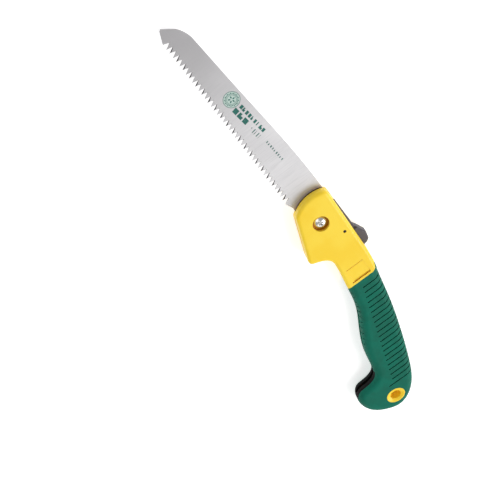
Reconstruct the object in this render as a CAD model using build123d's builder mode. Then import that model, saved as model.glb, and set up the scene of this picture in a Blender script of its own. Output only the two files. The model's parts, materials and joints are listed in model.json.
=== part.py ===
from build123d import *
from math import atan2, cos, degrees, hypot, radians, sin
import os

os.makedirs("parts", exist_ok=True)

# Folding pruning saw, open, lying on its side. Millimetres.
# It is drawn about the blade pivot: X runs from the blade (-X) to the grip (+X), +Y is the
# spine side, -Y is the side of the teeth and the fingers, and Z is across the thickness.
# At the end every piece is shifted so that the origin is under the middle of the whole saw.

# ---------------- driving dimensions ----------------
blade_reach = 229.0  # pivot axis to the blade's tip
blade_thick = 1.2
tooth_count = 42
tooth_depth = 5.9
fold_angle = 162.0  # from open to folded
half_thick = 11.0  # half of the handle's thickness
slot_half = 1.9  # half of the gap between the two shells
skin_thick = 2.0  # green overmould over the yellow core
neck_end = 74.6  # pivot axis to the start of the green grip
head_round = 3.2  # edge rounding of the yellow head
grip_round = 7.5  # edge rounding of the green grip
part_gap = 0.3  # clearance between pieces that move past each other
spring_gap = 1.9  # round the spring's coil, for its legs to swing
pin_run = 0.05  # running clearance round a pin, radial

tang_r = 13.0
notch_wide = 8.0
notch_floor_r = 10.4
bush_r = 4.0
bush_half = 5.0
screw_r = 3.0
screw_head_r = 5.9
screw_head_high = 3.2
recess_r = 7.75
recess_deep = 5.0
washer_r = 5.8
washer_thick = 1.0
nut_flats = 10.0
nut_high = 3.2
thrust_r = 9.5
thrust_gap = 0.05  # each side of a thrust washer

stop_pin_r = 2.0
stop_pin_half = 7.5
stop_pin_angle = 130.0

lever_pin_x = 21.0
lever_pin_y = 12.0
lever_pin_r = 1.5
lever_half = 3.0
button_half = 4.4
lever_in = 5.0  # degrees that the tooth rocks into the tang's notch
lever_out = 10.0  # degrees that the thumb hump rocks in when pressed
well_gap = 0.4  # beside the lever
spring_wire_r = 0.35
spring_r = 3.2
spring_pitch = 0.85

groove_count = 21
groove_wide = 1.2
groove_deep = 0.9
nick_long = 1.8  # the short nicks of the finger side, in from the outline
first_groove = 82.6
last_groove = 197.2

shell_screw_r = 1.4
shell_screw_head_r = 2.9
shell_screw_sink = 3.0  # below the rear face
peg_r = 1.5
peg_half = 4.0

hang_bore_long = 5.2  # half sizes of the oval hang hole and of its rim
hang_bore_short = 4.0
hang_rim_long = 9.7
hang_rim_short = 7.7
hang_wall = 1.0  # flat rim round the dish
hang_dish = 1.2  # depth of the shallow dish above the straight bore

# ---------------- derived values ----------------
fold_lean = 180.0 - fold_angle
grip_scale = (blade_reach - neck_end) / (229.0 - 74.6)
thrust_thick = slot_half - blade_thick / 2 - 2 * thrust_gap
stop_pin_at = tang_r + part_gap + stop_pin_r


def grip(x, y):
    """Place a point of the standard grip, stretched about the neck's end to suit the blade."""
    return (neck_end + (x - 74.6) * grip_scale, y * grip_scale)


def blade(x, y):
    """Place a point of the standard blade, stretched along its length to suit the reach."""
    return (x * blade_reach / 229.0, y)


def polar(radius, angle):
    """Point at a radius and an angle in degrees about the blade pivot."""
    return (radius * cos(radians(angle)), radius * sin(radians(angle)))


def folded(x, y):
    """Where a point of the open blade lies when the blade is folded."""
    lean = radians(fold_angle)
    return (x * cos(lean) - y * sin(lean), x * sin(lean) + y * cos(lean))


# ---------------- outlines ----------------
neck_top = (neck_end, 13.5)
neck_low = (neck_end, -19.9)
nose_top = (-24.2, 22.4)
nose_low = (-19.6, -14.2)
jaw_tip = (29.3, -32.8)
notch_top = (43.5, -14.4)

rear_nose_back = 6.0  # the rear shell's nose is set back behind the blade


def head_outline(nose_back):
    """The head's side outline; its nose can be set back along the head."""
    top = (nose_top[0] + nose_back, nose_top[1] - 0.04 * nose_back)
    low = (nose_low[0] + nose_back, nose_low[1] - 0.38 * nose_back)
    with BuildSketch() as outline:
        with BuildLine():
            Spline(top, (30, 18.8), neck_top, tangents=((1, -0.04), (1, -0.27)))
            Line(neck_top, neck_low)
            Spline(neck_low, (58, -16.4), notch_top, tangents=((-1, 0.2), (-1, 0.08)))
            Spline(notch_top, (35.6, -18.8), jaw_tip, tangents=((-1, -0.08), (-0.35, -1)))
            Line(jaw_tip, low)
            ThreePointArc(low, (nose_back - 27.4, 4.0), top)
        make_face()
        fillet(outline.vertices().sort_by_distance(top)[0], 5.2)
        fillet(outline.vertices().sort_by_distance(jaw_tip)[0], 4.0)
        fillet(outline.vertices().sort_by_distance(low)[0], 5.4)
    return outline.sketch


head_face = head_outline(0.0)

spine_points = [grip(115, 4.0), grip(150, -6.2), grip(186, -18.8), grip(209.4, -29.8)]
butt_points = [grip(222.0, -41.5), grip(227.0, -55.0), grip(222.4, -70.0), grip(213.4, -81.0)]
hook_points = [grip(202.6, -85.6), grip(192.6, -85.0), grip(185.8, -79.5), grip(184.0, -69.0)]
finger_points = [
    grip(179.3, -56.8),
    grip(164.0, -51.4),
    grip(146.0, -46.4),
    grip(128.0, -38.0),
    grip(106.6, -27.4),
]


def grip_outline(inward):
    """The grip's side outline, drawn in by an amount all round but at the neck's end."""
    through = [neck_top, *spine_points, *butt_points, *hook_points, *finger_points, neck_low]
    drawn_in = []
    for before, here, after in zip(through[:1] + through, through, through[1:] + through[-1:]):
        run_x, run_y = after[0] - before[0], after[1] - before[1]
        run = hypot(run_x, run_y)
        drawn_in.append((here[0] + inward * run_y / run, here[1] - inward * run_x / run))
    start = (neck_end, drawn_in[0][1])
    finish = (neck_end, drawn_in[-1][1])
    with BuildSketch() as outline:
        with BuildLine():
            Spline(start, *drawn_in[1:-1], finish, tangents=((1, -0.27), (-1, 0.2)))
            Line(finish, start)
        make_face()
    return outline.sketch


grip_face = grip_outline(0.0)

# The grip's green skin reaches further forward at the spine, in a round corner.
corner_reach = 6.6
with BuildSketch() as corner_face:
    with BuildLine():
        ThreePointArc((neck_end, 7.2), (neck_end - 2.0, 12.1), (neck_end - corner_reach, 14.2))
        Polyline(
            (neck_end - corner_reach, 14.2),
            (neck_end - corner_reach, 17.0),
            (neck_end + 1, 17.0),
            (neck_end + 1, 7.2),
            (neck_end, 7.2),
        )
    make_face()


def rounded_half(face, high, edge_round):
    """One half of the handle: a face raised from the middle plane, with its outer edge rounded."""
    with BuildPart() as half:
        add(extrude(face, high))
        rim = half.faces().sort_by(Axis.Z)[-1].outer_wire().edges()
        fillet([edge for edge in rim if abs(edge.center().X - neck_end) > 0.01], edge_round)
    return half.part


head_half = rounded_half(head_face, half_thick, head_round)
rear_head_half = rounded_half(head_outline(rear_nose_back), half_thick, head_round)
grip_half = rounded_half(grip_face, half_thick, grip_round)

# The yellow core inside the green skin, with a tongue that joins it to the neck.
core_high = half_thick - skin_thick
core_half = rounded_half(grip_outline(skin_thick), core_high, grip_round - skin_thick)
tongue_reach = 11.0
tongue_top = neck_top[1] - skin_thick - 1.2
tongue_low = neck_low[1] + skin_thick + 0.6
with BuildPart() as core_body:
    add(core_half)
    with BuildSketch(Plane.YZ.offset(neck_end - tongue_reach)):
        with Locations(((tongue_top + tongue_low) / 2, core_high / 2)):
            Rectangle(tongue_top - tongue_low, core_high)
        fillet(vertices().group_by(Axis.Z)[-1], 4.0)
    extrude(amount=tongue_reach + 4.0)

# The oval rim of the hang hole: it stands in the grip's skin, flush with its face.
hang_at = grip(211.0, -52.4)
with BuildPart() as hang_post:
    with BuildSketch(Plane.XY.offset(slot_half)):
        with Locations(hang_at):
            Ellipse(hang_rim_short, hang_rim_long)
    extrude(amount=half_thick - slot_half)
with BuildPart() as hang_bore:
    with BuildSketch(Plane.XY.offset(-0.01)):
        with Locations(hang_at):
            Ellipse(hang_bore_short, hang_bore_long)
    with BuildSketch(Plane.XY.offset(half_thick - hang_dish)):
        with Locations(hang_at):
            Ellipse(hang_bore_short + 0.5, hang_bore_long + 0.5)
    loft()
    with BuildSketch(Plane.XY.offset(half_thick - hang_dish)):
        with Locations(hang_at):
            Ellipse(hang_bore_short + 0.5, hang_bore_long + 0.5)
    with BuildSketch(Plane.XY.offset(half_thick + 0.01)):
        with Locations(hang_at):
            Ellipse(hang_rim_short - hang_wall, hang_rim_long - hang_wall)
    loft()

# ---------------- gap between the shells ----------------
# The blade swings in a gap that is open at the nose and all along the finger side.
# A solid spine closes it behind, and the butt and the hook close it round the folded nose.
bridge_front = -13.5
mouth_deep = 1.6
mouth_high = 1.4
well_front = -7.6
well_back = 52.5
with BuildSketch() as slot_face:
    with BuildLine():
        Polyline(
            (-60, 40),
            (bridge_front, 40),
            (bridge_front, 17.6),
            (well_back, 9.0),
            (well_back + 8, 3.4),
            grip(80, 0.6),
            grip(115, -8.0),
            grip(150, -18.0),
            grip(180, -28.6),
            grip(199, -40.0),
            grip(203.5, -56.0),
            grip(208, -59.6),
            grip(214, -59.6),
            grip(220.4, -62.0),
            grip(219.4, -71.4),
            grip(212.6, -77.6),
            grip(205, -81.4),
            grip(193, -81.4),
            grip(170, -86.0),
            (-60, -90),
            (-60, 40),
        )
    make_face()

# The lever lies in a wider well, open at the spine; the thumb hump's part is wider still.
with BuildSketch() as arm_well_face:
    with BuildLine():
        Polyline(
            (well_front, 40),
            (well_front, 13.0),
            (-2.6, 9.8),
            (8.5, 9.8),
            (15.0, 6.6),
            (well_back - 8, 4.6),
            (well_back, 9.5),
            (well_back, 40),
            (well_front, 40),
        )
    make_face()
with BuildSketch() as hump_well_face:
    with BuildLine():
        Polyline(
            (23.6, 40),
            (23.6, 4.6),
            (well_back - 8, 4.6),
            (well_back, 9.5),
            (well_back, 40),
            (23.6, 40),
        )
    make_face()

# The gap's mouth at the nose is relieved, so that sawdust falls out.
with BuildSketch() as mouth_face:
    with Locations((-14.0, 0)):
        Rectangle(30, 80, align=(Align.MAX, Align.CENTER))
    with Locations((mouth_deep, -0.3)):
        add(head_face, mode=Mode.SUBTRACT)

with BuildPart() as hollow:
    add(extrude(slot_face.sketch, slot_half))
    add(extrude(mouth_face.sketch, slot_half + mouth_high))
    add(extrude(arm_well_face.sketch, lever_half + well_gap))
    add(extrude(hump_well_face.sketch, button_half + well_gap))

# Moulded-out pockets lighten each shell behind the gap.
pocket_high = half_thick - skin_thick - 2.6
with BuildPart() as pockets:
    with BuildSketch(Plane.XY.offset(slot_half)):
        for along, across, lean in ((100, -17.5, -16), (124, -25.5, -20), (148, -32.5, -18)):
            with Locations(Location((*grip(along, across), 0), (0, 0, lean))):
                RectangleRounded(19, 8, 2)
        with Locations(Location((0, -16.5, 0), (0, 0, -19))):
            RectangleRounded(14, 6, 2)
        with Locations(Location((20, -17.0, 0), (0, 0, -19))):
            RectangleRounded(18, 12, 2)
    extrude(amount=pocket_high - slot_half)

# ---------------- rest for the folded blade ----------------
first_tip = (-217.0, -6.2)
last_tip = (-32.4, -14.2)


def tooth_tip(step):
    """Tip of a tooth, counted from the nose."""
    share = step / (tooth_count - 1)
    return blade(
        first_tip[0] + (last_tip[0] - first_tip[0]) * share,
        first_tip[1] + (last_tip[1] - first_tip[1]) * share,
    )


nose_tooth = folded(*tooth_tip(0))
nose_tip = folded(*blade(-227.6, -1.4))
rest_along = degrees(atan2(nose_tip[1] - nose_tooth[1], nose_tip[0] - nose_tooth[0]))
rest_thick = 2.4
rest_middle = (
    (nose_tooth[0] + nose_tip[0]) / 2 - (part_gap + rest_thick / 2) * sin(radians(rest_along)),
    (nose_tooth[1] + nose_tip[1]) / 2 + (part_gap + rest_thick / 2) * cos(radians(rest_along)),
)

rest_place = Location((*rest_middle, 0), (0, 0, rest_along))

# ---------------- hook liners ----------------
# Rubber strips let into the hook's inner side, one each side of the gap.
liner_thick = 3.6
liner_high = 6.4
with BuildSketch() as liner_face:
    with BuildLine():
        Polyline(
            grip(178.2, -52.0),
            grip(188.0, -56.0),
            grip(189.5, -70.0),
            grip(193.0, -78.0),
            grip(191.6, -92.0),
            grip(168.0, -92.0),
            grip(168.0, -60.0),
            grip(178.2, -52.0),
        )
    make_face()
    add(grip_outline(liner_thick), mode=Mode.SUBTRACT)
with BuildPart() as liner_space:
    add(extrude(liner_face.sketch, liner_high))
with BuildPart() as liner_half:
    add(grip_half)
    add(liner_space.part, mode=Mode.INTERSECT)
    add(hollow.part, mode=Mode.SUBTRACT)
hook_liners = liner_half.part + mirror(liner_half.part, about=Plane.XY)

# ---------------- yellow shells ----------------
screw_places = [(64.0, 8.4), grip(118, -2.6), grip(172, -19.4)]
peg_places = [grip(95, 3.6), grip(146, -10.6)]
panel_front = 57.0
panel_back = 71.1
stop_pin_place = polar(stop_pin_at, stop_pin_angle)
lever_pin_place = (lever_pin_x, lever_pin_y)


def yellow_shell(screw_side):
    """A half shell above the middle plane; the screw side has the cross-head recess."""
    with BuildPart() as shell:
        add(head_half if screw_side else rear_head_half)
        with BuildSketch():
            add(corner_face.sketch)
        extrude(amount=half_thick + 1, mode=Mode.SUBTRACT)
        add(core_body.part)
        add(hang_post.part)
        add(hang_bore.part, mode=Mode.SUBTRACT)
        # Shallow panel across the neck, with a line before it and a groove behind it.
        with BuildSketch(Plane.XY.offset(half_thick - 0.55)):
            with Locations(((panel_front + panel_back) / 2, -1.2)):
                RectangleRounded(panel_back - panel_front, 18.4, 1.2)
        extrude(amount=1, mode=Mode.SUBTRACT)
        with BuildSketch(Plane.XY.offset(half_thick - 1.1)):
            with Locations((panel_back + 0.7, -2.6)):
                RectangleRounded(1.3, 20.0, 0.6)
            with Locations((panel_front, -1.2)):
                RectangleRounded(0.8, 18.4, 0.35)
        extrude(amount=2, mode=Mode.SUBTRACT)
        add(hollow.part, mode=Mode.SUBTRACT)
        add(pockets.part, mode=Mode.SUBTRACT)
        with BuildSketch():
            with Locations(rest_place):
                RectangleRounded(6.0, rest_thick, 0.6)
        extrude(amount=slot_half + 1.5, mode=Mode.SUBTRACT)
        add(liner_space.part, mode=Mode.SUBTRACT)
        # Blade pivot: round recess and the bush's bore.
        with Locations((0, 0, half_thick)):
            Cylinder(
                recess_r,
                recess_deep,
                align=(Align.CENTER, Align.CENTER, Align.MAX),
                mode=Mode.SUBTRACT,
            )
        Cylinder(bush_r, 2 * bush_half, mode=Mode.SUBTRACT)
        Cylinder(screw_r + pin_run, 2 * half_thick, mode=Mode.SUBTRACT)
        with Locations(stop_pin_place):
            Cylinder(stop_pin_r, 2 * stop_pin_half, mode=Mode.SUBTRACT)
        with Locations(lever_pin_place):
            Cylinder(lever_pin_r, 3 * half_thick, mode=Mode.SUBTRACT)
        with Locations(*peg_places):
            Cylinder(peg_r, 2 * peg_half, mode=Mode.SUBTRACT)
        with Locations(*screw_places):
            if screw_side:
                Cylinder(shell_screw_r, 2 * (half_thick - 4.0), mode=Mode.SUBTRACT)
            else:
                Cylinder(shell_screw_r, 3 * half_thick, mode=Mode.SUBTRACT)
        if not screw_side:
            with Locations(*[(*place, half_thick - shell_screw_sink - 2.0) for place in screw_places]):
                Cylinder(
                    shell_screw_head_r + 0.2,
                    half_thick,
                    align=(Align.CENTER, Align.CENTER, Align.MIN),
                    mode=Mode.SUBTRACT,
                )
            # Round pocket for the lever's spring, with room for its leg to swing.
            with Locations(lever_pin_place):
                Cylinder(
                    spring_r + spring_gap,
                    6.6,
                    align=(Align.CENTER, Align.CENTER, Align.MIN),
                    mode=Mode.SUBTRACT,
                )
            with BuildSketch():
                with BuildLine():
                    Polyline((21, 14), (8.4, 12.0), (8.4, 4.6), (21, 6.2), (21, 14))
                make_face()
            extrude(amount=6.6, mode=Mode.SUBTRACT)
    return shell.part


def green_grip(screw_side):
    """The soft skin of one half above the middle plane, grooved towards the spine."""
    with BuildPart() as skin:
        add(head_half)
        with BuildSketch():
            add(corner_face.sketch)
        extrude(amount=half_thick, mode=Mode.INTERSECT)
        add(grip_half)
        add(core_body.part, mode=Mode.SUBTRACT)
        add(hang_post.part, mode=Mode.SUBTRACT)
        add(groove_cutter.part, mode=Mode.SUBTRACT)
        add(liner_space.part, mode=Mode.SUBTRACT)
        add(hollow.part, mode=Mode.SUBTRACT)
        if not screw_side:
            with Locations(*screw_places[1:]):
                Cylinder(shell_screw_head_r + 0.6, 3 * half_thick, mode=Mode.SUBTRACT)
    return skin.part


def groove_place(step):
    """X of a groove; the grooves are evenly spaced along the grip."""
    return grip(first_groove + (last_groove - first_groove) * step / (groove_count - 1), 0)[0]


def groove_start(x):
    """Y where a groove begins: a line that slants across the side of the grip."""
    along = (x - neck_end) / grip_scale
    return (-5.1 - 0.335 * along) * grip_scale


# Grooves: thin slabs, kept to the outer layer of the grip. The finger side has short nicks.
with BuildPart() as groove_cutter:
    with BuildSketch():
        for step in range(groove_count):
            x = groove_place(step)
            start = groove_start(x) - (5.0 * grip_scale if step == groove_count - 1 else 0.0)
            with Locations((x, start)):
                Rectangle(groove_wide, 60, align=(Align.CENTER, Align.MIN))
                Circle(groove_wide / 2)
    extrude(amount=half_thick + 1)
    with BuildSketch():
        for step in range(groove_count - 10):
            with Locations((groove_place(step), groove_start(groove_place(step)) - 5.0)):
                Rectangle(groove_wide, 60, align=(Align.CENTER, Align.MAX))
        add(grip_outline(nick_long), mode=Mode.SUBTRACT)
    extrude(amount=half_thick + 1)
    add(
        rounded_half(grip_outline(groove_deep), half_thick - groove_deep, grip_round - groove_deep),
        mode=Mode.SUBTRACT,
    )


# ---------------- blade ----------------
# Flat plate: toothed edge, slanted nose, nearly straight back, and a round tang.
tooth_pitch = tooth_tip(1)[0] - tooth_tip(0)[0]
gullet_share = 0.34  # the teeth lean towards the heel, so the saw cuts when it is pulled
shoulder_turn = degrees((stop_pin_r + part_gap) / stop_pin_at)
shoulder_angle = stop_pin_angle + shoulder_turn
tang_low_angle = -118.0
notch_middle = degrees(atan2(tang_r, 3.1))

with BuildPart() as blade_plate:
    with BuildSketch(Plane.XY.offset(-blade_thick / 2)):
        with BuildLine():
            nose_corner = blade(-229.0, 0.4)
            nose_end = blade(-221.5, 9.8)
            back_start = blade(-205.0, 16.0)
            tooth_line = [blade(-227.6, -1.4)]
            for step in range(tooth_count):
                tip_x, tip_y = tooth_tip(step)
                tooth_line += [(tip_x, tip_y), (tip_x + gullet_share * tooth_pitch, tip_y + tooth_depth)]
            tooth_line[-1] = (-24.0, -11.2)
            Polyline(nose_corner, *tooth_line, (-9.0, -13.6), polar(tang_r, tang_low_angle))
            CenterArc((0, 0), tang_r, tang_low_angle, shoulder_angle - tang_low_angle)
            Polyline(polar(tang_r, shoulder_angle), polar(22.0, shoulder_angle), (-19.6, 20.4))
            Spline(
                (-19.6, 20.4),
                (-60, 21.4),
                blade(-135, 18.7),
                back_start,
                tangents=((-1, 0.06), (-1, -0.03)),
            )
            TangentArc(back_start, nose_end, tangent=(-1, -0.03))
            Line(nose_end, nose_corner)
        make_face()
        Circle(bush_r + pin_run, mode=Mode.SUBTRACT)
        for turn in (0.0, fold_angle):
            with Locations(
                Location((*polar(notch_floor_r, notch_middle - turn), 0), (0, 0, notch_middle - turn))
            ):
                Rectangle(10, notch_wide, align=(Align.MIN, Align.CENTER), mode=Mode.SUBTRACT)
    extrude(amount=blade_thick)

# ---------------- blade pivot ----------------
recess_floor = half_thick - recess_deep

with BuildPart() as pivot_bush:
    Cylinder(bush_r, 2 * bush_half)
    Cylinder(screw_r + pin_run, 2 * bush_half, mode=Mode.SUBTRACT)

with BuildPart() as screw_washer:
    with BuildSketch(Plane.XY.offset(recess_floor)):
        Circle(washer_r)
        Circle(screw_r + 0.2, mode=Mode.SUBTRACT)
    extrude(amount=washer_thick)
    chamfer(screw_washer.edges().sort_by(Axis.Z)[-1], 0.25)
nut_washer = mirror(screw_washer.part, about=Plane.XY)

with BuildPart() as front_thrust:
    with BuildSketch(Plane.XY.offset(blade_thick / 2 + thrust_gap)):
        Circle(thrust_r)
        Circle(bush_r + 0.1, mode=Mode.SUBTRACT)
    extrude(amount=thrust_thick)
rear_thrust = mirror(front_thrust.part, about=Plane.XY)

head_seat = recess_floor + washer_thick
shank_end = -(head_seat + nut_high + 0.3)
with BuildPart() as pivot_screw:
    with BuildSketch(Plane.XZ):
        with BuildLine():
            crown = ThreePointArc(
                (0, head_seat + screw_head_high),
                (3.6, head_seat + screw_head_high - 0.5),
                (screw_head_r, head_seat + 1.1),
            )
            Polyline(
                crown @ 1,
                (screw_head_r, head_seat),
                (screw_r, head_seat),
                (screw_r, shank_end + 0.5),
                (screw_r - 0.5, shank_end),
                (0, shank_end),
                crown @ 0,
            )
        make_face()
    revolve(axis=Axis.Z)
    # Cross recess, narrowing downwards.
    with BuildSketch(Plane.XY.offset(head_seat + screw_head_high + 0.1)):
        Rectangle(6.4, 1.5)
        Rectangle(1.5, 6.4)
    extrude(amount=-2.4, taper=14, mode=Mode.SUBTRACT)

with BuildPart() as pivot_nut:
    with BuildSketch(Plane.XY.offset(-head_seat)):
        RegularPolygon(nut_flats / 2, 6, major_radius=False)
        Circle(screw_r, mode=Mode.SUBTRACT)
    extrude(amount=-nut_high)
    with BuildSketch(Plane.XZ):
        with BuildLine():
            nut_low = -head_seat - nut_high
            Polyline((4.6, nut_low), (7, nut_low + 1.4), (7, nut_low), (4.6, nut_low))
        make_face()
    revolve(axis=Axis.Z, mode=Mode.SUBTRACT)

with BuildPart() as stop_pin:
    with Locations(stop_pin_place):
        Cylinder(stop_pin_r, 2 * stop_pin_half)
    chamfer(stop_pin.edges().filter_by(GeomType.CIRCLE), 0.4)

# ---------------- lock lever ----------------
pin_end = half_thick - 0.35
with BuildPart() as lever_pin:
    with Locations(lever_pin_place):
        Cylinder(lever_pin_r, 2 * pin_end)
    chamfer(lever_pin.edges().filter_by(GeomType.CIRCLE), 0.3)

# The arm lies in the spine, with a tooth over the tang's notch; the thumb hump stands proud behind.
tooth_bottom_r = tang_r + part_gap
tooth_front = (0.3, (tooth_bottom_r**2 - 0.3**2) ** 0.5)
tooth_back = (6.0, (tooth_bottom_r**2 - 6.0**2) ** 0.5)
tooth_middle = polar(tooth_bottom_r, degrees(atan2(tooth_bottom_r, 3.1)))
hump_points = [
    (28.0, 9.6),
    (36.0, 9.6),
    (49.6, 15.6),
    (48.8, 21.2),
    (46.4, 24.4),
    (39.2, 26.2),
    (29.0, 22.4),
]
with BuildPart() as lock_lever:
    with BuildSketch(Plane.XY.offset(-lever_half)):
        with BuildLine():
            ThreePointArc(tooth_front, tooth_middle, tooth_back)
            Polyline(tooth_back, (7.2, 15.6), (13.5, 15.2), (17.6, 9.2), (23.5, 8.2), *hump_points)
            Polyline(hump_points[-1], (26.0, 20.9), (-5.0, 22.0), (-5.4, 18.2), (-0.6, 17.2), tooth_front)
        make_face()
    extrude(amount=2 * lever_half)
    with BuildSketch(Plane.XY.offset(-button_half)):
        with BuildLine():
            Polyline(*hump_points, hump_points[0])
        make_face()
    extrude(amount=2 * button_half)
    with Locations(lever_pin_place):
        Cylinder(lever_pin_r + pin_run, 4 * lever_half, mode=Mode.SUBTRACT)
    corners = lock_lever.edges().filter_by(Axis.Z)
    fillet([edge for edge in corners if edge.center().X > 37 and edge.center().Y > 21], 2.2)
    sides = lock_lever.faces().filter_by(Axis.Z).sort_by(Axis.Z)
    chamfer(sides[-1].outer_wire().edges() + sides[0].outer_wire().edges(), 0.9)

# Torsion spring on the lever pin: one leg lies under the hump, the other in the rear shell.
coil_turns = 2
spring_leg = 9.0
with BuildPart() as spring_shape:
    with BuildLine():
        coil = Helix(spring_pitch, coil_turns * spring_pitch, spring_r)
        Line(coil @ 0 - (coil % 0) * spring_leg, coil @ 0)
        Line(coil @ 1, coil @ 1 + (coil % 1) * (spring_leg + 3.0))
    with BuildSketch(Plane(origin=coil @ 0 - (coil % 0) * spring_leg, z_dir=coil % 0)):
        Circle(spring_wire_r)
    sweep()
coil_low = -(lever_half + 0.5 + coil_turns * spring_pitch + spring_wire_r)
lever_spring = spring_shape.part.moved(Location((lever_pin_x, lever_pin_y, coil_low), (0, 0, -90)))

# ---------------- fasteners of the shells ----------------
with BuildPart() as shell_screws:
    for place in screw_places:
        with BuildSketch(Plane((*place, -(half_thick - shell_screw_sink)))):
            Circle(shell_screw_head_r)
        extrude(amount=2.0)
        with BuildSketch(Plane((*place, -(half_thick - shell_screw_sink - 2.0)))):
            Circle(shell_screw_r)
        extrude(amount=2 * half_thick - shell_screw_sink - 6.5)
        with BuildSketch(Plane((*place, -(half_thick - shell_screw_sink) - 0.1))):
            Rectangle(3.6, 0.8)
            Rectangle(0.8, 3.6)
        extrude(amount=1.3, taper=10, mode=Mode.SUBTRACT)

with BuildPart() as locating_pegs:
    with Locations(*peg_places):
        Cylinder(peg_r, 2 * peg_half)
    chamfer(locating_pegs.edges().filter_by(GeomType.CIRCLE), 0.3)

# The folded blade's nose stops on a small rubber rest that is let into both shells.
with BuildPart() as tip_rest:
    with BuildSketch(Plane.XY.offset(-slot_half - 1.5)):
        with Locations(rest_place):
            RectangleRounded(6.0, rest_thick, 0.6)
    extrude(amount=2 * slot_half + 3.0)

# ---------------- finished pieces ----------------
front_shell = yellow_shell(True)
rear_shell = mirror(yellow_shell(False), about=Plane.XY)
front_grip = green_grip(True)
rear_grip = mirror(green_grip(False), about=Plane.XY)

pieces = {
    "blade": blade_plate.part,
    "front_shell": front_shell,
    "rear_shell": rear_shell,
    "front_grip": front_grip,
    "rear_grip": rear_grip,
    "pivot_screw": pivot_screw.part,
    "pivot_nut": pivot_nut.part,
    "pivot_bush": pivot_bush.part,
    "screw_washer": screw_washer.part,
    "nut_washer": nut_washer,
    "front_thrust_washer": front_thrust.part,
    "rear_thrust_washer": rear_thrust,
    "stop_pin": stop_pin.part,
    "lock_lever": lock_lever.part,
    "lever_pin": lever_pin.part,
    "lever_spring": lever_spring,
    "shell_screws": shell_screws.part,
    "locating_pegs": locating_pegs.part,
    "tip_rest": tip_rest.part,
    "hook_liners": hook_liners,
}
whole = Compound(children=[Compound(piece.solids()) for piece in pieces.values()]).bounding_box()
shift = (-(whole.min.X + whole.max.X) / 2, -(whole.min.Y + whole.max.Y) / 2, -whole.min.Z)
for name, piece in pieces.items():
    finished = piece.moved(Location(shift))
    finished.label = name
    export_step(finished, "parts/" + name + ".step")
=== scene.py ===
"""Looks for the folding pruning saw: finishes, ground teeth, printed marks, studio and camera."""

import json
import logging
from dataclasses import dataclass, field
from enum import Enum
from math import cos, pi, radians, sin

import bmesh
import bpy
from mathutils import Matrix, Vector

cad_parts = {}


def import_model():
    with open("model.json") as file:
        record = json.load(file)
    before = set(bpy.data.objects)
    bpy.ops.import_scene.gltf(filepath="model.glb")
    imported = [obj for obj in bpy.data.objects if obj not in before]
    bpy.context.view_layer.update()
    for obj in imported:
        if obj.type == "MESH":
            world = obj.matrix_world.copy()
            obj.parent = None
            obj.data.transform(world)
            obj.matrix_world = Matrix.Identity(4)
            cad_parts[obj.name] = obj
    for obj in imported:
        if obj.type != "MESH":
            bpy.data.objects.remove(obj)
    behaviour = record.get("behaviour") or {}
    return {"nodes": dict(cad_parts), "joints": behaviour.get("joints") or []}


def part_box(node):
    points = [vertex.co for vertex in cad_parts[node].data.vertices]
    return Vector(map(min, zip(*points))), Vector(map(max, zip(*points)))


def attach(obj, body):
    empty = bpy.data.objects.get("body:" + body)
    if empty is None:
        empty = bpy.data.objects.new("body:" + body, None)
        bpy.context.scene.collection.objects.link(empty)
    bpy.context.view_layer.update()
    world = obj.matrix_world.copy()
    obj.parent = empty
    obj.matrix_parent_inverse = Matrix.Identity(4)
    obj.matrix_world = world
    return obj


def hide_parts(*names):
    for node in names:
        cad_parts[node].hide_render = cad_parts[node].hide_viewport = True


log = logging.getLogger("pruning_saw")

Colour = tuple[float, float, float]
Point = tuple[float, float]
ROUND_STEPS = 48  # sides of a printed circle


class Body(Enum):
    """The moving bodies of the saw."""

    HANDLE = "handle"
    BLADE = "blade"
    LEVER = "lock_lever"


class Facet(Enum):
    """Which way a ground tooth facet faces along the blade."""

    HEEL = 1
    NOSE = 2


# ---------------------------------------------------------------- shader helpers


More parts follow.
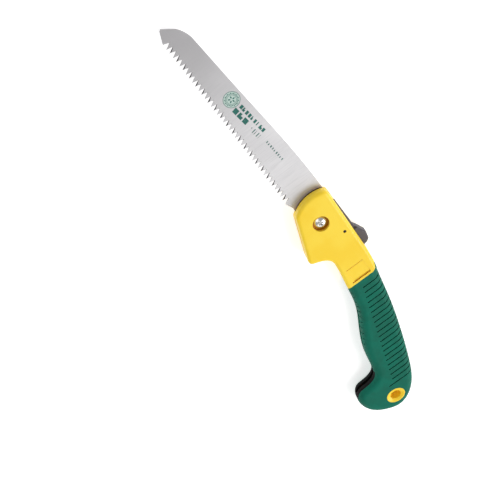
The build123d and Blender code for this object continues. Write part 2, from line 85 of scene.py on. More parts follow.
class Nodes:
    """A small wrapper for wiring up a node tree."""

    def __init__(self, tree: bpy.types.NodeTree) -> None:
        """Keeps the tree.

        Args:
            tree: The node tree to build in.
        """
        self.tree = tree

    def add(self, kind: str, **values: object) -> bpy.types.Node:
        """Adds a node and sets its properties.

        Args:
            kind: The node's type name.
            **values: Properties of the node.

        Returns:
            The new node.
        """
        node = self.tree.nodes.new(kind)
        for name, value in values.items():
            setattr(node, name, value)
        return node

    def join(self, start: bpy.types.NodeSocket, end: bpy.types.NodeSocket) -> None:
        """Links one socket to another.

        Args:
            start: The output.
            end: The input.
        """
        self.tree.links.new(start, end)

    def feed(self, socket: bpy.types.NodeSocket, value: object) -> None:
        """Gives an input its value.

        Args:
            socket: The input.
            value: A socket to link to it, or the value to set on it.
        """
        if isinstance(value, bpy.types.NodeSocket):
            self.join(value, socket)
        else:
            socket.default_value = value

    def maths(
        self, operation: str, first: object, second: object = 0.0, clamp: bool = False
    ) -> bpy.types.NodeSocket:
        """Adds a Math node.

        Args:
            operation: The Math node's operation.
            first: A socket or a number.
            second: A socket or a number.
            clamp: Whether the result is kept between 0 and 1.

        Returns:
            The node's output.
        """
        node = self.add("ShaderNodeMath", operation=operation, use_clamp=clamp)
        for socket, value in zip(node.inputs, (first, second)):
            self.feed(socket, value)
        return node.outputs[0]

    def ramp(
        self, value: bpy.types.NodeSocket, low: object, high: object, out_low: float, out_high: float
    ) -> bpy.types.NodeSocket:
        """Maps a value smoothly from one range to another.

        Args:
            value: The socket to map.
            low: Input value that gives out_low; a socket or a number.
            high: Input value that gives out_high; a socket or a number.
            out_low: Output at low.
            out_high: Output at high.

        Returns:
            The mapped value.
        """
        node = self.add("ShaderNodeMapRange", interpolation_type="SMOOTHSTEP")
        self.join(value, node.inputs["Value"])
        self.feed(node.inputs["From Min"], low)
        self.feed(node.inputs["From Max"], high)
        node.inputs["To Min"].default_value = out_low
        node.inputs["To Max"].default_value = out_high
        return node.outputs["Result"]

    def tint(self, share: bpy.types.NodeSocket, first: object, second: object) -> bpy.types.NodeSocket:
        """Mixes two colours.

        Args:
            share: How much of the second colour shows.
            first: A socket or a colour.
            second: A socket or a colour.

        Returns:
            The mixed colour.
        """
        node = self.add("ShaderNodeMix", data_type="RGBA")
        self.join(share, node.inputs[0])
        for socket, value in ((node.inputs[6], first), (node.inputs[7], second)):
            self.feed(socket, value if isinstance(value, bpy.types.NodeSocket) else (*value, 1.0))
        return node.outputs[2]


def new_group(
    name: str, inputs: dict[str, float], outputs: dict[str, str]
) -> tuple[bpy.types.NodeTree, Nodes]:
    """Makes an empty shader node group.

    Args:
        name: The group's name.
        inputs: Input names and default values.
        outputs: Output names and socket types.

    Returns:
        The group's tree and a builder for it.
    """
    tree = bpy.data.node_groups.new(name, "ShaderNodeTree")
    for label, value in inputs.items():
        socket = tree.interface.new_socket(name=label, in_out="INPUT", socket_type="NodeSocketFloat")
        socket.default_value = value
    for label, kind in outputs.items():
        tree.interface.new_socket(name=label, in_out="OUTPUT", socket_type=kind)
    return tree, Nodes(tree)


def surface_grain() -> bpy.types.NodeTree:
    """A moulded or ground surface's fine grain, which can be drawn out across the part.

    Returns:
        A group with a height and a slow mottle, both about 0 to 1.
    """
    tree, net = new_group(
        "surface_grain",
        {"Grains per metre": 3000.0, "Stretch": 1.0, "Mottle per metre": 60.0},
        {"Height": "NodeSocketFloat", "Mottle": "NodeSocketFloat"},
    )
    entry = net.add("NodeGroupInput")
    leave = net.add("NodeGroupOutput")
    place = net.add("ShaderNodeTexCoord")
    parts = net.add("ShaderNodeSeparateXYZ")
    net.join(place.outputs["Object"], parts.inputs[0])
    drawn = net.add("ShaderNodeCombineXYZ")
    net.join(parts.outputs["X"], drawn.inputs["X"])
    net.join(net.maths("DIVIDE", parts.outputs["Y"], entry.outputs["Stretch"]), drawn.inputs["Y"])
    net.join(parts.outputs["Z"], drawn.inputs["Z"])
    grain = net.add("ShaderNodeTexNoise")
    grain.inputs["Detail"].default_value = 3.0
    net.join(drawn.outputs[0], grain.inputs["Vector"])
    net.join(entry.outputs["Grains per metre"], grain.inputs["Scale"])
    mottle = net.add("ShaderNodeTexNoise")
    mottle.inputs["Detail"].default_value = 4.0
    net.join(place.outputs["Object"], mottle.inputs["Vector"])
    net.join(entry.outputs["Mottle per metre"], mottle.inputs["Scale"])
    net.join(grain.outputs["Fac"], leave.inputs["Height"])
    net.join(mottle.outputs["Fac"], leave.inputs["Mottle"])
    return tree


def edge_wear() -> bpy.types.NodeTree:
    """Where corners are rubbed: the bevelled normal leaves the true one, broken up by noise.

    Returns:
        A group with a mask of 0 to 1.
    """
    tree, net = new_group(
        "edge_wear", {"Reach": 0.0006, "Amount": 0.5}, {"Mask": "NodeSocketFloat"}
    )
    entry = net.add("NodeGroupInput")
    leave = net.add("NodeGroupOutput")
    shape = net.add("ShaderNodeNewGeometry")
    bevel = net.add("ShaderNodeBevel", samples=4)
    net.join(entry.outputs["Reach"], bevel.inputs["Radius"])
    dot = net.add("ShaderNodeVectorMath", operation="DOT_PRODUCT")
    net.join(bevel.outputs["Normal"], dot.inputs[0])
    net.join(shape.outputs["Normal"], dot.inputs[1])
    corner = net.ramp(dot.outputs["Value"], 1.0, 0.9, 0.0, 1.0)
    place = net.add("ShaderNodeTexCoord")
    noise = net.add("ShaderNodeTexNoise")
    noise.inputs["Scale"].default_value = 240.0
    noise.inputs["Detail"].default_value = 5.0
    net.join(place.outputs["Object"], noise.inputs["Vector"])
    broken = net.ramp(noise.outputs["Fac"], 0.42, 0.62, 0.0, 1.0)
    worn = net.maths("MULTIPLY", corner, broken)
    net.join(net.maths("MULTIPLY", worn, entry.outputs["Amount"], clamp=True), leave.inputs["Mask"])
    return tree


def fine_scratches() -> bpy.types.NodeTree:
    """Sparse hairline scratches that run along and across the part.

    Returns:
        A group with a mask of 0 to 1.
    """
    tree, net = new_group("fine_scratches", {"Per metre": 90.0, "Amount": 0.5}, {"Mask": "NodeSocketFloat"})
    entry = net.add("NodeGroupInput")
    leave = net.add("NodeGroupOutput")
    place = net.add("ShaderNodeTexCoord")
    turned = net.add("ShaderNodeMapping")
    turned.inputs["Rotation"].default_value = (0.0, 0.0, radians(24))
    turned.inputs["Scale"].default_value = (1.0, 26.0, 1.0)
    net.join(place.outputs["Object"], turned.inputs["Vector"])
    noise = net.add("ShaderNodeTexNoise")
    noise.inputs["Detail"].default_value = 2.0
    noise.inputs["Distortion"].default_value = 0.4
    net.join(turned.outputs[0], noise.inputs["Vector"])
    net.join(entry.outputs["Per metre"], noise.inputs["Scale"])
    line = net.ramp(noise.outputs["Fac"], 0.66, 0.72, 0.0, 1.0)
    net.join(net.maths("MULTIPLY", line, entry.outputs["Amount"], clamp=True), leave.inputs["Mask"])
    return tree


def crevice_shade() -> bpy.types.NodeTree:
    """Painted shade: how far a spot lies inside a recess or gap, where shade falls.

    Returns:
        A group with a painted shade mask that goes from 0 where the openness starts to count to 1 where it
        is full.
    """
    tree, net = new_group(
        "crevice_shade",
        {"Reach": 0.006, "Amount": 1.0, "Starts": 0.62, "Full": 0.18},
        {"Mask": "NodeSocketFloat"},
    )
    entry = net.add("NodeGroupInput")
    leave = net.add("NodeGroupOutput")
    open_sky = net.add("ShaderNodeAmbientOcclusion", samples=16)
    net.join(entry.outputs["Reach"], open_sky.inputs["Distance"])
    depth = net.ramp(open_sky.outputs["AO"], entry.outputs["Starts"], entry.outputs["Full"], 0.0, 1.0)
    net.join(net.maths("MULTIPLY", depth, entry.outputs["Amount"], clamp=True), leave.inputs["Mask"])
    return tree


@dataclass
class Effects:
    """The shader groups that the finishes share."""

    grain: bpy.types.NodeTree = field(default_factory=surface_grain)
    wear: bpy.types.NodeTree = field(default_factory=edge_wear)
    scratches: bpy.types.NodeTree = field(default_factory=fine_scratches)
    # painted shade for recesses and gaps
    painted_recess_shade: bpy.types.NodeTree = field(default_factory=crevice_shade)


# ---------------------------------------------------------------- finishes


@dataclass(frozen=True)
class Finish:
    """A surface finish: colour, gloss, grain, wear and painted shade in recesses.

    Attributes:
        name: The material's name.
        colour: Main colour.
        deep: Colour in the darker mottles.
        worn: Colour of rubbed corners.
        rough: Roughness at its smoothest and roughest.
        metallic: Metallic share.
        grains: Grains per metre.
        stretch: How far the grain is drawn out across the part.
        relief: Height of the grain in metres.
        mottles: Mottles per metre.
        wear: Strength of edge wear.
        wear_reach: How far the wear reaches from a corner, in metres.
        scratch: Strength of the hairline scratches.
        coat: Clear gloss on top.
        specular: Specular level.
        glow: Light given off, for the studio's backdrop only.
        inside: Colour of the painted shade deep in recesses and gaps.
        inside_reach: How near a facing wall has to be for the painted shade to count, in metres.
        inside_share: How much of the painted shade shows.
        inside_starts: Openness at which the painted shade begins.
        inside_full: Openness at which the painted shade is complete.
    """

    name: str
    colour: Colour
    deep: Colour
    worn: Colour
    rough: Point
    metallic: float = 0.0
    grains: float = 3000.0
    stretch: float = 1.0
    relief: float = 0.00002
    mottles: float = 60.0
    wear: float = 0.4
    wear_reach: float = 0.0005
    scratch: float = 0.2
    coat: float = 0.0
    specular: float = 0.5
    glow: float = 0.0
    inside: Colour = (0.02, 0.02, 0.02)
    inside_reach: float = 0.006
    inside_share: float = 0.0
    inside_starts: float = 0.62
    inside_full: float = 0.18

    def build(self, effects: Effects) -> bpy.types.Material:
        """Makes the material.

        Args:
            effects: The shared shader groups.

        Returns:
            The new material.
        """
        material = bpy.data.materials.new(self.name)
        material.use_nodes = True
        net = Nodes(material.node_tree)
        shader = material.node_tree.nodes["Principled BSDF"]
        shader.inputs["Metallic"].default_value = self.metallic
        shader.inputs["Coat Weight"].default_value = self.coat
        shader.inputs["Coat Roughness"].default_value = 0.12
        shader.inputs["Specular IOR Level"].default_value = self.specular
        if self.glow > 0.0:
            shader.inputs["Emission Color"].default_value = (1.0, 1.0, 1.0, 1.0)
            shader.inputs["Emission Strength"].default_value = self.glow
        grain = net.add("ShaderNodeGroup", node_tree=effects.grain)
        grain.inputs["Grains per metre"].default_value = self.grains
        grain.inputs["Stretch"].default_value = self.stretch
        grain.inputs["Mottle per metre"].default_value = self.mottles
        wear = net.add("ShaderNodeGroup", node_tree=effects.wear)
        wear.inputs["Reach"].default_value = self.wear_reach
        wear.inputs["Amount"].default_value = self.wear
        scratch = net.add("ShaderNodeGroup", node_tree=effects.scratches)
        scratch.inputs["Amount"].default_value = self.scratch
        blotch = net.ramp(grain.outputs["Mottle"], 0.35, 0.65, 0.0, 1.0)
        ground = self.ground_colour(net, net.tint(blotch, self.deep, self.colour), grain)
        rubbed = net.tint(wear.outputs["Mask"], ground, self.worn)
        scratched = net.tint(scratch.outputs["Mask"], rubbed, self.worn)
        # Painted shade: the inside colour darkens recesses and gaps by how closed in they are.
        if self.inside_share > 0.0:
            crevice = net.add("ShaderNodeGroup", node_tree=effects.painted_recess_shade)
            crevice.inputs["Reach"].default_value = self.inside_reach
            crevice.inputs["Amount"].default_value = self.inside_share
            crevice.inputs["Starts"].default_value = self.inside_starts
            crevice.inputs["Full"].default_value = self.inside_full
            scratched = net.tint(crevice.outputs["Mask"], scratched, self.inside)
        net.join(scratched, shader.inputs["Base Color"])
        broad = net.maths("MULTIPLY", grain.outputs["Mottle"], 0.6)
        fine = net.maths("MULTIPLY", grain.outputs["Height"], 0.4)
        mixed = net.maths("ADD", broad, fine)
        net.join(net.ramp(mixed, 0.35, 0.65, self.rough[0], self.rough[1]), shader.inputs["Roughness"])
        bump = net.add("ShaderNodeBump")
        bump.inputs["Strength"].default_value = 1.0
        bump.inputs["Distance"].default_value = self.relief
        net.join(grain.outputs["Height"], bump.inputs["Height"])
        net.join(bump.outputs["Normal"], shader.inputs["Normal"])
        return material

    def ground_colour(
        self, net: Nodes, colour: bpy.types.NodeSocket, grain: bpy.types.Node
    ) -> bpy.types.NodeSocket:
        """The colour under the wear; plain finishes leave it as it is.

        Args:
            net: The material's node builder.
            colour: The mottled colour.
            grain: The grain group's node.

        Returns:
            The colour that the wear is laid on.
        """
        return colour


@dataclass(frozen=True)
class GroundSteel(Finish):
    """Steel ground across the blade: fine bright and dark lines, and a slow painted shade along it, darker
    towards the nose.

    Attributes:
        line_dark: Colour of the dark grinding lines.
        shade_start: X where the painted shade is full, in metres.
        shade_end: X where the painted shade ends, in metres.
        shade: Colour of the painted shade.
    """

    line_dark: Colour = (0.45, 0.45, 0.46)
    shade_start: float = -0.23
    shade_end: float = -0.09
    shade: Colour = (0.44, 0.43, 0.44)

    def ground_colour(
        self, net: Nodes, colour: bpy.types.NodeSocket, grain: bpy.types.Node
    ) -> bpy.types.NodeSocket:
        """Adds the grinding lines and the painted shade towards the nose.

        Args:
            net: The material's node builder.
            colour: The mottled colour.
            grain: The grain group's node.

        Returns:
            The lined and shaded colour.
        """
        lines = net.ramp(grain.outputs["Height"], 0.30, 0.55, 0.35, 0.0)
        lined = net.tint(lines, colour, self.line_dark)
        place = net.add("ShaderNodeTexCoord")
        parts = net.add("ShaderNodeSeparateXYZ")
        net.join(place.outputs["Object"], parts.inputs[0])
        # Painted shade: the steel darkens towards the nose in place of its darker reflection there.
        nose = net.ramp(parts.outputs["X"], self.shade_start, self.shade_end, 1.0, 0.0)
        return net.tint(nose, lined, self.shade)


YELLOW = Finish(
    name="yellow_shell",
    colour=(0.98, 0.70, 0.040),
    deep=(0.96, 0.65, 0.022),
    worn=(1.0, 0.82, 0.24),
    rough=(0.32, 0.46),
    grains=1500.0,
    relief=0.00002,
    mottles=35.0,
    wear=0.35,
    coat=0.10,
    specular=0.35,
    # Painted shade: deep orange in the shells' recesses, hollows and gaps.
    inside=(0.62, 0.19, 0.004),
    inside_share=0.95,
)
GREEN = Finish(
    name="green_grip",
    colour=(0.0020, 0.150, 0.098),
    deep=(0.0014, 0.122, 0.078),
    worn=(0.045, 0.27, 0.20),
    rough=(0.52, 0.70),
    grains=2600.0,
    relief=0.00007,
    mottles=70.0,
    wear=0.5,
    wear_reach=0.0007,
    scratch=0.10,
    specular=0.16,
    # Painted shade: near black deep in the grip's grooves and gaps.
    inside=(0.0005, 0.020, 0.013),
    inside_reach=0.003,
    inside_share=0.8,
)
STEEL = GroundSteel(
    name="blade_steel",
    colour=(0.69, 0.68, 0.69),
    deep=(0.66, 0.65, 0.66),
    worn=(0.84, 0.84, 0.84),
    rough=(0.34, 0.46),
    # Painted shadow: near black where the blade runs into the gap under the shells; the narrow openness
    # range gives a crisp line.
    inside=(0.004, 0.0035, 0.003),
    inside_reach=0.006,
    inside_share=1.0,
    inside_starts=0.50,
    inside_full=0.40,
    metallic=0.45,
    specular=0.3,
    grains=2600.0,
    stretch=60.0,
    relief=0.000006,
    mottles=30.0,
    wear=0.2,
    scratch=0.10,
)
# Painted dark reflection: a near-black copy of the steel for the ground tooth facets that face the nose.
PAINTED_DARK_REFLECTION_FACET = Finish(
    name="tooth_facet_painted_dark_reflection",
    colour=(0.075, 0.070, 0.070),
    deep=(0.050, 0.047, 0.048),
    worn=(0.35, 0.35, 0.36),
    rough=(0.28, 0.42),
    metallic=1.0,
    grains=6000.0,
    relief=0.000006,
    wear=0.15,
    wear_reach=0.0002,
)
# Painted highlight: a brighter, glossier copy of the steel for the ground tooth facets that face the heel.
PAINTED_HIGHLIGHT_FACET = Finish(
    name="tooth_facet_painted_highlight",
    colour=(0.88, 0.88, 0.88),
    deep=(0.80, 0.80, 0.81),
    worn=(0.95, 0.95, 0.95),
    rough=(0.20, 0.30),
    metallic=1.0,
    grains=6000.0,
    relief=0.000006,
)
PRINT_GREEN = Finish(
    name="printed_green",
    colour=(0.004, 0.135, 0.105),
    deep=(0.003, 0.110, 0.085),
    worn=(0.35, 0.48, 0.46),
    rough=(0.40, 0.55),
    grains=5000.0,
    wear=0.1,
    scratch=0.35,
)
PRINT_PALE = Finish(
    name="printed_pale",
    colour=(0.50, 0.62, 0.57),
    deep=(0.44, 0.57, 0.52),
    worn=(0.70, 0.72, 0.72),
    rough=(0.35, 0.5),
    metallic=0.4,
    grains=5000.0,
    wear=0.1,
)
LEVER = Finish(
    name="grey_lever",
    colour=(0.088, 0.074, 0.082),
    deep=(0.070, 0.060, 0.068),
    worn=(0.24, 0.22, 0.23),
    rough=(0.42, 0.58),
    grains=2200.0,
    relief=0.00006,
    wear=0.6,
    wear_reach=0.0007,
)
NICKEL = Finish(
    name="bright_screw",
    colour=(0.86, 0.85, 0.83),
    deep=(0.80, 0.79, 0.78),
    worn=(0.95, 0.94, 0.92),
    rough=(0.10, 0.20),
    metallic=1.0,
    grains=1500.0,
    relief=0.000008,
    scratch=0.3,
)
ZINC = Finish(
    name="zinc_steel",
    colour=(0.62, 0.62, 0.63),
    deep=(0.50, 0.50, 0.52),
    worn=(0.80, 0.80, 0.80),
    rough=(0.25, 0.42),
    metallic=1.0,
    grains=2500.0,
    relief=0.000015,
    mottles=180.0,
)
ACETAL = Finish(
    name="bearing_plastic",
    colour=(0.78, 0.76, 0.70),
    deep=(0.72, 0.70, 0.64),
    worn=(0.88, 0.87, 0.84),
    rough=(0.35, 0.50),
    grains=2500.0,
)
SPRING = Finish(
    name="spring_steel",
    colour=(0.34, 0.34, 0.35),
    deep=(0.22, 0.22, 0.23),
    worn=(0.60, 0.60, 0.61),
    rough=(0.22, 0.36),
    metallic=1.0,
    grains=5000.0,
    relief=0.00001,
)
BLACK_OXIDE = Finish(
    name="black_screw",
    colour=(0.030, 0.030, 0.032),
    deep=(0.018, 0.018, 0.020),
    worn=(0.20, 0.20, 0.20),
    rough=(0.30, 0.45),
    metallic=0.8,
    grains=3500.0,
    wear=0.6,
    wear_reach=0.0003,
)
REST_RUBBER = Finish(
    name="rest_rubber",
    colour=(0.006, 0.006, 0.006),
    deep=(0.004, 0.004, 0.004),
    worn=(0.025, 0.025, 0.025),
    rough=(0.62, 0.82),
    grains=3000.0,
    relief=0.00006,
    specular=0.12,
)
FLOOR = Finish(
    name="studio_floor",
    colour=(0.84, 0.84, 0.84),
    deep=(0.83, 0.83, 0.83),
    worn=(0.84, 0.84, 0.84),
    rough=(0.70, 0.85),
    grains=400.0,
    relief=0.00002,
    mottles=6.0,
    wear=0.0,
    scratch=0.0,
    specular=0.2,
    glow=0.55,
)


# ---------------------------------------------------------------- mesh helpers


def finished_object(
    name: str, mesh: bmesh.types.BMesh, materials: list[bpy.types.Material]
) -> bpy.types.Object:
    """Turns a bmesh into an object in the scene.

    Args:
        name: The piece's name.
        mesh: The shape, which is freed here.
        materials: Its materials, in slot order.

    Returns:
        The new object.
    """
    bmesh.ops.recalc_face_normals(mesh, faces=mesh.faces)
    data = bpy.data.meshes.new(name)
    mesh.to_mesh(data)
    mesh.free()
    for material in materials:
        data.materials.append(material)
    piece = bpy.data.objects.new(name, data)
    bpy.context.scene.collection.objects.link(piece)
    return piece


def add_slab(mesh: bmesh.types.BMesh, outline: list[Point], low: float, high: float, slot: int = 0) -> None:
    """Adds a flat closed slab over an outline.

    Args:
        mesh: The bmesh to add to.
        outline: Corners in order.
        low: Height of its underside.
        high: Height of its top.
        slot: Material slot of its faces.
    """
    under = [mesh.verts.new((x, y, low)) for x, y in outline]
    over = [mesh.verts.new((x, y, high)) for x, y in outline]
    made = [mesh.faces.new(list(reversed(under))), mesh.faces.new(over)]
    for index in range(len(outline)):
        after = (index + 1) % len(outline)
        made.append(mesh.faces.new((under[index], under[after], over[after], over[index])))
    for face in made:
        face.material_index = slot


def circle(centre: Point, radius: float) -> list[Point]:
    """Points round a circle.

    Args:
        centre: Its centre.
        radius: Its radius.

    Returns:
        The points in order.
    """
    turns = [2 * pi * n / ROUND_STEPS for n in range(ROUND_STEPS)]
    return [(centre[0] + radius * cos(turn), centre[1] + radius * sin(turn)) for turn in turns]


def add_ring(
    mesh: bmesh.types.BMesh, centre: Point, inner: float, outer: float, low: float, high: float
) -> None:
    """Adds a flat closed ring.

    Args:
        mesh: The bmesh to add to.
        centre: Its centre.
        inner: Inner radius.
        outer: Outer radius.
        low: Height of its underside.
        high: Height of its top.
    """
    loops = []
    for radius, height in ((inner, low), (outer, low), (outer, high), (inner, high)):
        loops.append([mesh.verts.new((x, y, height)) for x, y in circle(centre, radius)])
    for first, second in zip(loops, loops[1:] + loops[:1]):
        for n in range(ROUND_STEPS):
            after = (n + 1) % ROUND_STEPS
            mesh.faces.new((first[n], first[after], second[after], second[n]))


# ---------------------------------------------------------------- blade


@dataclass
class Blade:
    """The saw blade: a ground plate with alternately bevelled teeth and a printed face.

    Attributes:
        node: The CAD node that the ground plate stands for.
        pivot: The blade's pivot.
        facet_width: Width of a tooth facet in plan, in metres.
        weld_reach: Points nearer than this are joined, in metres.
        flat_turn: Faces that turn less than this are joined, in degrees.
        flank_reach: Shortest and longest flank of a tooth, in metres.
        flank_steep: Least share of a flank that runs across the blade.
        teeth_below: The tips lie further than this below the pivot, in metres.
        teeth_ahead: The tips lie further than this ahead of the pivot, in metres.
        slant: Least and most upward share of a ground facet's normal.
        print_gap: How far the print floats over the steel, in metres.
        print_height: How thick the print is, in metres.
    """

    node: bpy.types.Object
    pivot: Vector
    facet_width: float = 0.00085
    weld_reach: float = 0.000002
    flat_turn: float = 0.4
    flank_reach: Point = (0.004, 0.009)
    flank_steep: float = 0.75
    teeth_below: float = 0.004
    teeth_ahead: float = 0.024
    slant: Point = (0.2, 0.97)
    print_gap: float = 0.000004
    print_height: float = 0.00003

    def plate(self, effects: Effects) -> bpy.types.Object:
        """Grinds the teeth on a copy of the blade's plate.

        Args:
            effects: The shared shader groups.

        Returns:
            The ground plate.
        """
        shape = bmesh.new()
        shape.from_mesh(self.node.data)
        bmesh.ops.remove_doubles(shape, verts=shape.verts, dist=self.weld_reach)
        turn = radians(self.flat_turn)
        bmesh.ops.dissolve_limit(shape, angle_limit=turn, verts=shape.verts, edges=shape.edges)
        top = max(corner.co.z for corner in shape.verts)
        bottom = min(corner.co.z for corner in shape.verts)
        bevelled = self.flank_edges(shape, top, 0) + self.flank_edges(shape, bottom, 1)
        bmesh.ops.bevel(
            shape,
            geom=bevelled,
            offset=self.facet_width,
            offset_type="OFFSET",
            segments=1,
            affect="EDGES",
            clamp_overlap=True,
        )
        # Tooth facets get lit and shaded copies of the steel: slot 1, the painted highlight, on facets
        # facing the heel; slot 2, the painted dark reflection, on facets facing the nose.
        for face in shape.faces:
            face.smooth = False
            if self.slant[0] < abs(face.normal.z) < self.slant[1]:
                face.material_index = Facet.HEEL.value if face.normal.x > 0 else Facet.NOSE.value
            else:
                face.material_index = 0
        materials = [STEEL.build(effects), PAINTED_HIGHLIGHT_FACET.build(effects), PAINTED_DARK_REFLECTION_FACET.build(effects)]
        plate = finished_object("ground_blade", shape, materials)
        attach(plate, Body.BLADE.value)
        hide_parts("blade")
        return plate

    def flank_edges(self, shape: bmesh.types.BMesh, height: float, parity: int) -> list[bmesh.types.BMEdge]:
        """Finds the tooth edges to grind on one face of the plate.

        Args:
            shape: The plate.
            height: Height of the face.
            parity: 0 for the even teeth, 1 for the odd ones.

        Returns:
            The edges of every second tooth on that face.
        """
        flanks: dict[int, list[bmesh.types.BMEdge]] = {}
        for edge in shape.edges:
            first, second = edge.verts
            flat = abs(first.co.z - height) < 1e-6 and abs(second.co.z - height) < 1e-6
            span = second.co - first.co
            long_enough = self.flank_reach[0] < span.length < self.flank_reach[1]
            if not flat or not long_enough or abs(span.y) < self.flank_steep * span.length:
                continue
            tip = first if first.co.y < second.co.y else second
            if tip.co.y < self.pivot.y - self.teeth_below and tip.co.x < self.pivot.x - self.teeth_ahead:
                flanks.setdefault(round(tip.co.x * 1e5), []).append(edge)
        teeth = [flanks[key] for key in sorted(flanks)]
        log.info("teeth found on the face: %d", len(teeth))
        return [edge for tooth in teeth[parity::2] for edge in tooth]

    def marks(self, effects: Effects) -> bpy.types.Object:
        """Prints the round mark and the plain bars on the blade's upper face.

        Args:
            effects: The shared shader groups.

        Returns:
            The printed marks.
        """
        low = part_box("blade")[1][2] + self.print_gap
        high = low + self.print_height
        shape = bmesh.new()
        Badge().print_on(shape, self.pivot, low, high)
        for row in BAR_ROWS:
            row.print_on(shape, self.pivot, low, high)
        inks = [PRINT_GREEN.build(effects), PRINT_PALE.build(effects)]
        marks = finished_object("blade_marks", shape, inks)
        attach(marks, Body.BLADE.value)
        return marks


@dataclass(frozen=True)
class Badge:
    """A plain round printed badge of rings, ticks and leaves. Lengths are in metres.

    Attributes:
        place: Its centre, from the pivot.
        disc: Radius of the pale disc.
        disc_height: How thick the pale disc is.
        lift: How far the ticks and leaves start over the print's underside.
        rim: Inner and outer radius of the rim.
        ring: Inner and outer radius of the ring inside the ticks.
        ticks: Number of ticks.
        tick_start: Radius where a tick starts.
        tick_ends: Radii where the even and the odd ticks end.
        tick_half: Half of a tick's width.
        leaves: Number of leaves.
        leaf_ring: Radius that the leaves lie on.
        leaf_turn: Turn of the first leaf, in radians.
        leaf_half: Half sizes of a leaf, outward and sideways.
        leaf_steps: Sides of a leaf.
    """

    place: Point = (-0.1432, 0.0084)
    disc: float = 0.0070
    disc_height: float = 0.00001
    lift: float = 0.000012
    rim: Point = (0.0071, 0.0075)
    ring: Point = (0.0040, 0.0043)
    ticks: int = 26
    tick_start: float = 0.0048
    tick_ends: Point = (0.0059, 0.0064)
    tick_half: float = 0.00034
    leaves: int = 5
    leaf_ring: float = 0.0021
    leaf_turn: float = 0.3
    leaf_half: Point = (0.0011, 0.0006)
    leaf_steps: int = 12

    def print_on(self, shape: bmesh.types.BMesh, pivot: Vector, low: float, high: float) -> None:
        """Adds the badge.

        Args:
            shape: The bmesh to add to.
            pivot: The blade's pivot.
            low: Height of its underside.
            high: Height of its top.
        """
        middle = pivot.xy + Vector(self.place)
        centre = (middle.x, middle.y)
        add_slab(shape, circle(centre, self.disc), low, low + self.disc_height, 1)
        raised = low + self.lift
        add_ring(shape, centre, *self.rim, low, high)
        add_ring(shape, centre, *self.ring, raised, high)
        for n in range(self.ticks):
            turn = 2 * pi * n / self.ticks
            along = Vector((cos(turn), sin(turn)))
            across = Vector((-sin(turn), cos(turn))) * self.tick_half
            start = middle + along * self.tick_start
            end = middle + along * self.tick_ends[n % 2]
            corners = [start + across, start - across, end - across, end + across]
            add_slab(shape, [(corner.x, corner.y) for corner in corners], raised, high)
        for n in range(self.leaves):
            turn = 2 * pi * n / self.leaves + self.leaf_turn
            outward = Vector((cos(turn), sin(turn)))
            sideways = Vector((-sin(turn), cos(turn)))
            spot = middle + outward * self.leaf_ring
            rounds = [2 * pi * k / self.leaf_steps for k in range(self.leaf_steps)]
            leaf = [
                spot + outward * self.leaf_half[0] * cos(part) + sideways * self.leaf_half[1] * sin(part)
                for part in rounds
            ]
            add_slab(shape, [(corner.x, corner.y) for corner in leaf], raised, high)


@dataclass(frozen=True)
class BarRow:
    """A row of plain printed bars.

    Attributes:
        start: Middle of the row's nose end, from the pivot.
        end: Middle of the row's heel end, from the pivot.
        height: Height of the bars across the blade.
        widths: Relative widths of the bars.
        fill: Share of its room that a bar of width 1 fills.
        lean: How far a bar's foot leans, as a share of its room.
        top_lean: How far its top leans, as a share of the foot's lean.
        notch_every: Every bar of this number is notched.
    """

    start: Point
    end: Point
    height: float
    widths: tuple[float, ...]
    fill: float = 0.86
    lean: float = 0.12
    top_lean: float = 0.6
    notch_every: int = 3

    def print_on(self, shape: bmesh.types.BMesh, pivot: Vector, low: float, high: float) -> None:
        """Adds the bars.

        Args:
            shape: The bmesh to add to.
            pivot: The blade's pivot.
            low: Height of their undersides.
            high: Height of their tops.
        """
        start = Vector(self.start) + pivot.xy
        span = Vector(self.end) + pivot.xy - start
        along = span.normalized()
        up = Vector((-along.y, along.x)) * self.height / 2
        room = span.length / len(self.widths)
        for index, width in enumerate(self.widths):
            left = start + along * room * index
            right = left + along * room * self.fill * width
            cut = along * room * self.lean
            corners = [left - up + cut, right - up, right + up - cut * self.top_lean, left + up]
            if len(self.widths) > 1 and index % self.notch_every == 1:
                inner = (left + right) / 2
                corners = [left - up, right - up, right + up * 0.2, inner + up * 0.2, inner + up, left + up]
            add_slab(shape, [(corner.x, corner.y) for corner in corners], low, high)


# The rows of bars, each with its two ends from the pivot, its height and its bars' widths.
BAR_ROWS = (
    BarRow((-0.1340, 0.0108), (-0.1010, 0.0128), 0.0036, (1.0, 0.8, 0.9, 0.9, 0.6, 0.8, 0.4, 1.0, 0.9)),
    BarRow((-0.1352, 0.0046), (-0.1165, 0.0060), 0.0048, (1.0, 1.0, 1.0)),
    BarRow((-0.1118, 0.0062), (-0.1108, 0.0063), 0.0010, (1.0,)),
    BarRow((-0.1085, 0.0058), (-0.0985, 0.0066), 0.0042, (0.5, 0.25, 0.5, 0.25)),
    BarRow((-0.0925, 0.0086), (-0.0680, 0.0092), 0.0021, (0.5, 0.4, 0.6, 0.5, 0.4, 0.6, 0.5, 0.4, 0.5)),
)


# ---------------------------------------------------------------- handle and lever


@dataclass
class Dressing:
    """Gives each CAD node that stays its own finish.

    Attributes:
        nodes: The CAD nodes by name.
        finishes: The finish of each node, by the body it belongs to.
    """

    nodes: dict[str, bpy.types.Object]
    finishes: dict[Body, dict[str, Finish]]

    def apply(self, effects: Effects) -> None:
        """Assigns the materials.

        Args:
            effects: The shared shader groups.
        """
        built: dict[str, bpy.types.Material] = {}
        for body, finishes in self.finishes.items():
            for name, finish in finishes.items():
                if finish.name not in built:
                    built[finish.name] = finish.build(effects)
                for place in self.nodes[name].material_slots:
                    place.material = built[finish.name]
                log.info("dressed %s of the %s in %s", name, body.value, finish.name)


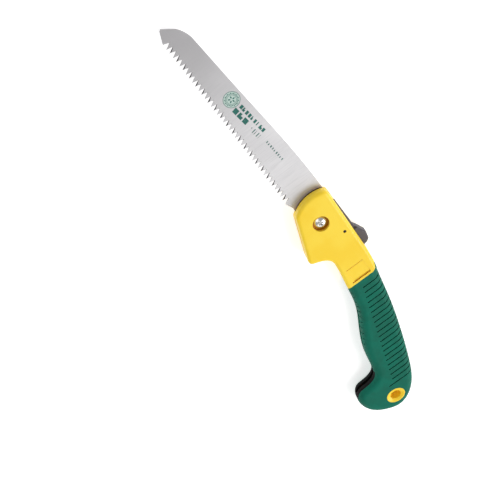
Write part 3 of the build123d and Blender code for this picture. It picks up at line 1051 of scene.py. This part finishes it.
FINISHES = {
    Body.HANDLE: {
        "front_shell": YELLOW,
        "rear_shell": YELLOW,
        "front_grip": GREEN,
        "rear_grip": GREEN,
        "pivot_screw": NICKEL,
        "pivot_nut": NICKEL,
        "screw_washer": ZINC,
        "nut_washer": ZINC,
        "pivot_bush": ZINC,
        "front_thrust_washer": ACETAL,
        "rear_thrust_washer": ACETAL,
        "stop_pin": ZINC,
        "lever_pin": BLACK_OXIDE,
        "shell_screws": BLACK_OXIDE,
        "locating_pegs": ACETAL,
        "tip_rest": REST_RUBBER,
        "hook_liners": REST_RUBBER,
    },
    Body.LEVER: {
        "lock_lever": LEVER,
        "lever_spring": SPRING,
    },
}


# ---------------------------------------------------------------- studio


@dataclass(frozen=True)
class Softbox:
    """A square soft light that faces the saw.

    Attributes:
        name: Its name.
        place: Where it stands, in metres.
        size: Its side, in metres.
        power: Its power in watts.
    """

    name: str
    place: tuple[float, float, float]
    size: float
    power: float

    def light(self, target: Vector) -> bpy.types.Object:
        """Puts the light in the scene.

        Args:
            target: The point it faces.

        Returns:
            The light's object.
        """
        data = bpy.data.lights.new(self.name, "AREA")
        data.shape = "SQUARE"
        data.size = self.size
        data.energy = self.power
        lamp = bpy.data.objects.new(self.name, data)
        lamp.location = self.place
        lamp.rotation_euler = (target - Vector(self.place)).to_track_quat("-Z", "Y").to_euler()
        bpy.context.scene.collection.objects.link(lamp)
        return lamp


@dataclass
class Studio:
    """The floor, the lights, the surroundings and the camera.

    Attributes:
        pivot: The blade's pivot.
        camera_from_pivot: Where the camera stands from the pivot, in metres.
        camera_turn: How the camera is turned, in degrees.
        lens: Focal length in millimetres.
        floor_drop: How far the floor lies under the saw, in metres.
        sky_turn: Where the surroundings start and end to brighten, along X.
        sky_level: Their lowest and highest strength.
        softboxes: The lights.
    """

    pivot: Vector
    camera_from_pivot: tuple[float, float, float] = (-0.5307, 0.09778, 0.87144)
    camera_turn: tuple[float, float, float] = (-29.928, -11.224, 53.726)
    lens: float = 82.243
    floor_drop: float = 0.0001
    sky_turn: Point = (0.15, 0.60)
    sky_level: Point = (0.38, 0.95)
    softboxes: tuple[Softbox, ...] = (
        Softbox("key_softbox", (0.95, 0.75, 1.30), 1.1, 17.0),
        Softbox("fill_softbox", (-0.9, -0.6, 1.5), 1.2, 4.0),
    )

    def floor(self, effects: Effects) -> bpy.types.Object:
        """Lays a wide pale floor with a gentle rise at its rim.

        Args:
            effects: The shared shader groups.

        Returns:
            The floor.
        """
        shape = bmesh.new()
        rings = [(1.4, 0.0), (2.2, 0.05), (3.0, 0.4)]
        steps = 64
        turns = [2 * pi * n / steps for n in range(steps)]
        loops = []
        for radius, rise in rings:
            height = rise - self.floor_drop
            edge = [(radius * cos(turn), radius * sin(turn), height) for turn in turns]
            loops.append([shape.verts.new(point) for point in edge])
        shape.faces.new(loops[0])
        for first, second in zip(loops, loops[1:]):
            for n in range(steps):
                after = (n + 1) % steps
                shape.faces.new((first[n], second[n], second[after], first[after])).smooth = True
        floor = finished_object("studio_floor", shape, [FLOOR.build(effects)])
        return floor

    def surroundings(self) -> None:
        """Makes a pale world that is brighter behind the grip than above the nose."""
        world = bpy.data.worlds.new("studio_surroundings")
        world.use_nodes = True
        bpy.context.scene.world = world
        net = Nodes(world.node_tree)
        back = world.node_tree.nodes["Background"]
        place = net.add("ShaderNodeTexCoord")
        parts = net.add("ShaderNodeSeparateXYZ")
        net.join(place.outputs["Generated"], parts.inputs[0])
        level = net.ramp(parts.outputs["X"], *self.sky_turn, *self.sky_level)
        net.join(level, back.inputs["Strength"])
        back.inputs["Color"].default_value = (1.0, 1.0, 1.0, 1.0)

    def camera(self) -> bpy.types.Object:
        """Sets up the camera.

        Returns:
            The camera.
        """
        data = bpy.data.cameras.new("studio_camera")
        data.lens = self.lens
        data.sensor_width = 36.0
        data.clip_start = 0.05
        data.clip_end = 20.0
        camera = bpy.data.objects.new("studio_camera", data)
        camera.location = self.pivot + Vector(self.camera_from_pivot)
        camera.rotation_euler = [radians(turn) for turn in self.camera_turn]
        bpy.context.scene.collection.objects.link(camera)
        bpy.context.scene.camera = camera
        return camera

    def build(self, effects: Effects) -> None:
        """Builds the whole studio.

        Args:
            effects: The shared shader groups.
        """
        self.floor(effects)
        self.surroundings()
        for softbox in self.softboxes:
            softbox.light(Vector((0.0, 0.0, 0.0)))
        self.camera()
        bpy.context.scene.view_settings.view_transform = "Standard"
        log.info("studio built with %d softboxes", len(self.softboxes))


# ---------------------------------------------------------------- main


def main() -> None:
    """Builds the saw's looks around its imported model."""
    logging.basicConfig(level=logging.INFO, format="%(name)s: %(message)s")
    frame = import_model()
    bpy.context.view_layer.update()
    nodes = frame["nodes"]
    effects = Effects()
    pivot = Vector(next(joint for joint in frame["joints"] if joint["name"] == "blade_fold")["pos_m"])
    blade = Blade(nodes["blade"], pivot)
    blade.plate(effects)
    blade.marks(effects)
    Dressing(nodes, FINISHES).apply(effects)
    Studio(pivot).build(effects)
    bpy.context.view_layer.update()


if __name__ == "__main__":
    main()
